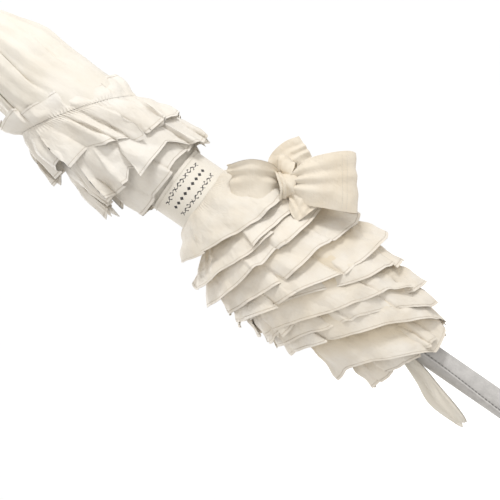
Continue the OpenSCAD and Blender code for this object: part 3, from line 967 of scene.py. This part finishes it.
def build_bow(material, thread):
    """Two loops, a fold, two tails and a knot, low on the +X side."""
    bow_strip(
        "bow_loop_left", [(55, 44, 208), (48, 53, 220), (38, 55, 238), (27, 47, 256), (30, 37, 254),
                          (43, 34, 234), (55, 37, 213)],
        [(0.7, 0.0, 0.5), (0.75, -0.1, 0.6), (0.73, -0.2, 0.64), (0.73, -0.1, 0.66), (0.73, -0.2, 0.66),
         (0.75, -0.1, 0.6), (0.7, 0.0, 0.5)],
        [16, 38, 46, 33, 34, 32, 16], (2.2, 4.2 * MM, 7 * MM), 501, material)
    bow_strip(
        "bow_fold", [(60, 44, 208), (67, 51, 216), (76, 48, 222), (78, 41, 219), (68, 38, 211)],
        [(0.3, 0.2, 0.9), (0.2, 0.3, 0.9), (0.2, 0.3, 0.9), (0.2, 0.3, 0.9), (0.3, 0.2, 0.9)],
        [10, 15, 17, 15, 10], (2, 1.5 * MM, 2 * MM), 506, material)
    loop, grid = bow_strip(
        "bow_loop_right", [(57, 47, 207), (67, 60, 195), (81, 62, 178), (93, 56, 160), (92, 45, 156),
                           (79, 42, 175), (63, 40, 201)],
        [(0.6, 0.0, 0.5), (0.72, 0.0, 0.45), (0.82, 0.0, 0.55), (0.82, 0.1, 0.57), (0.82, 0.0, 0.57),
         (0.72, 0.0, 0.45), (0.6, 0.0, 0.5)],
        [18, 42, 53, 60, 56, 40, 18], (2.4, 3.8 * MM, 6 * MM), 502, material)
    bow_strip(
        "bow_tail_up", [(60, 37, 211), (69, 36, 221), (83, 33, 222), (99, 29, 215)],
        [(0.3, 0, 0.9), (0.3, 0.1, 0.95), (0.45, 0.2, 0.85), (0.6, 0.2, 0.79)],
        [14, 31, 29, 24], (2, 2 * MM, 1 * MM), 503, material)
    bow_strip(
        "bow_tail_down", [(55, 48, 203), (51, 56, 194), (47, 59, 185), (44, 60, 176)],
        [(0.9, 0, 0.3), (0.9, 0.1, 0.3), (0.9, 0.1, 0.35), (0.9, 0.1, 0.4)],
        [11, 19, 25, 26], (2, 2 * MM, 1 * MM), 504, material)
    bow_strip(
        "bow_knot", [(50, 40, 197), (47, 52, 200), (54, 60, 206), (64, 56, 214), (67, 43, 218)],
        [(0.6, 0, -0.8), (0.7, 0, -0.7), (0.75, 0, -0.6), (0.6, 0, -0.8), (0.5, 0, -0.8)],
        [24, 19, 15, 20, 24], (3, 2.0 * MM, 3 * MM), 505, material)
    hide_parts("bow")
    for n, column in enumerate((25, 27)):
        line = grid[1:-1, column] + grid_normals(grid)[1:-1, column] * 0.45 * MM
        row = stitch_row(f"bow_stitch_{n + 1}", line, 2.2 * MM, 0.22 * MM, thread)
        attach(row, "gore_8")


def build_wrist_loop(material, thread):
    """A doubled ribbon that leaves the hem beside the grip and turns back on itself."""
    steps = 90
    centre = [lay(-15, 8, 10), lay(-19.5, 11, -12), lay(-27.5, 12, -36), lay(-34, 8, -64), lay(-38.5, 2, -67),
              lay(-36, -1, -36), lay(-26, -1, -12), lay(-17, 0, 10)]
    across = [(0.75, -0.6, 0.1)] * len(centre)
    widths = [width * MM for width in (11, 12, 15, 11, 9, 14, 12, 11)]
    grid = strip_grid(centre, across, widths, (2, 0.6 * MM, 1.2 * MM), 601, steps, 13)
    loop = strip_object("wrist_ribbon", grid, material, 0.8 * MM)
    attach(loop, "root")
    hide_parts("wrist_loop")
    length = line_length(catmull(centre, steps))
    for row, name in ((1, "ribbon_stitch_front"), (-2, "ribbon_stitch_back")):
        line = grid[row] + grid_normals(grid)[row] * 0.5 * MM
        stitches = stitch_row(name, line, 2.2 * MM, 0.2 * MM, thread)
        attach(stitches, "root")


# -------------------- rosette, handle seam, CAD finishes
def build_rosette(material):
    """A small gathered ruffle round the ferrule, over the canopy's centre."""
    low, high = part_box("top_rosette")
    around, rows, pleats = 320, 11, 11
    turns = (np.arange(around + 1) / around)[None, :]
    v = np.linspace(0, 1, rows)[:, None]
    phase = 2 * np.pi * pleats * (turns + ripple(turns % 1.0, 71, (2, 3), 0.012))
    reach = high[0] + 1 * MM
    foot = low[2] - 8 * MM
    radius = 9.2 * MM + (reach - 11 * MM) * v ** 0.8 + 2.4 * MM * v * sharp_wave(phase)
    height = high[2] - 1.5 * MM + (foot - high[2]) * v ** 1.4 + 1.2 * MM * v * np.sin(2 * phase)
    grid = ring_points(2 * np.pi * turns, radius, height + 0 * turns)
    rosette = strip_object("rosette_ruffle", grid, material, 0.5 * MM)
    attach(rosette, "root")
    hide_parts("top_rosette")
    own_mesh(rosette)


def grip_seam(welt_edge_and_highlight, thread):
    """The leather's overlapped edge and its stitches, from the hem along the grip and round the crook."""
    start, drift, inner_side = math.radians(-102), math.radians(22), math.radians(-180)
    top, bend = HEM + 3 * MM, -HEM
    seam_r = GRIP_R + 0.25 * MM
    crook_r = (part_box("crook_cap")[0][0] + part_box("crook_cap")[1][0]) / 4
    z = np.linspace(top, bend, 90)
    turn = start - drift * smooth(top - z, 0.0, 0.12)
    line = [(seam_r * math.cos(a), seam_r * math.sin(a), h) for a, h in zip(turn, z)]
    for a in np.linspace(0, math.pi, 60)[1:]:
        around = turn[-1] * (1 - a / math.pi) + inner_side * (a / math.pi)
        arc_r = crook_r - seam_r * math.cos(around)
        line.append((crook_r - arc_r * math.cos(a), seam_r * math.sin(around), bend - arc_r * math.sin(a)))
    line = np.array(line)
    # Paler leather on the welt: partly the raw edge's own colour, partly a painted highlight where light
    # catches the ridge.
    welt = add_object("grip_welt", taper_tube(line, np.full(len(line), 0.85 * MM), 8), welt_edge_and_highlight)
    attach(welt, "root")
    sideways = np.cross(np.gradient(line, axis=0), line - np.array([0, 0, 1]) * line)
    sideways /= np.linalg.norm(sideways, axis=1, keepdims=True) + 1e-12
    row = stitch_row("grip_stitch_1", line - sideways * (1.6 * MM), 4.2 * MM, 0.42 * MM, thread)
    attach(row, "root")


def finish_cad(materials):
    """Gives each CAD node that stays in view its finish."""
    wanted = {
        "shaft": "tube", "ferrule": "chrome", "ferrule_nut": "chrome", "crown": "chrome",
        "crown_wire": "steel", "handle_core": "wood", "handle_wrap": "leather", "handle_collar": "chrome",
        "crook_cap": "chrome", "runner": "plastic", "top_catch": "steel", "bottom_catch": "steel",
        "snap_cap": "chrome", "snap_socket": "chrome", "band_tab": "plain_band"}
    for k in range(1, GORES + 1):
        wanted[f"rib_{k}"] = "steel"
        wanted[f"rib_tip_{k}"] = "plastic"
        wanted[f"stretcher_{k}"] = "steel"
    for name, finish in wanted.items():
        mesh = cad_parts[name].data
        mesh.materials.clear()
        mesh.materials.append(materials[finish])


def main():
    make_camera()
    make_light()
    make_floor()
    canopy_cloth = cloth_material("canopy_cloth", (0.85, 0.815, 0.75), (0.80, 0.75, 0.66), 0.35)
    # The flounces carry painted shade where each lies under the tier above
    flounce_cloth = cloth_material("flounce_cloth", (0.87, 0.825, 0.755), (0.83, 0.755, 0.64), 0.75,
                                   HEM_DEPTH, painted_shade=True)
    ruffle_cloth = cloth_material("ruffle_cloth", (0.87, 0.84, 0.79), (0.82, 0.77, 0.69), 0.75, HEM_DEPTH)
    cape_cloth = cloth_material("cape_cloth", (0.82, 0.775, 0.7), (0.78, 0.71, 0.6), 0.75, HEM_DEPTH)
    bow_cloth = cloth_material("bow_cloth", (0.84, 0.775, 0.67), (0.79, 0.70, 0.565), 0.65)
    ribbon_cloth = cloth_material("ribbon_cloth", (0.88, 0.85, 0.78), (0.84, 0.79, 0.7), 0.25)
    cream_thread = thread_material("cream_thread", (0.8, 0.76, 0.68))
    grey_thread = thread_material("grey_thread", (0.2, 0.19, 0.19))
    finishes = {
        "tube": metal_material("polished_tube", (0.6, 0.6, 0.62), 0.22),
        "chrome": metal_material("plated_fitting", (0.56, 0.55, 0.53), 0.2, False),
        "steel": metal_material("zinc_steel", (0.48, 0.48, 0.5), 0.34),
        "wood": wood_material(), "leather": leather_material("grey_leather_grain", 1.22),
        "plastic": plastic_material(),
        "plain_band": cloth_material("plain_band_cloth", (0.87, 0.83, 0.75), (0.82, 0.77, 0.68), 0.2)}
    finish_cad(finishes)
    build_canopy(canopy_cloth)
    build_crown_cloth(canopy_cloth)
    build_tiers("flounce_stack", lower_tiers(), flounce_cloth)
    build_tiers("cape", cape_tier(), cape_cloth)
    build_tiers("top_ruffle", upper_tiers(), ruffle_cloth)
    build_band(band_material(), cream_thread)
    build_bow(bow_cloth, cream_thread)
    build_wrist_loop(ribbon_cloth, cream_thread)
    build_rosette(ruffle_cloth)
    # The welt's leather is a paler copy: partly the raw edge's colour, partly a painted highlight
    grip_seam(leather_material("grey_leather_edge_and_highlight", 1.45), grey_thread)


main()
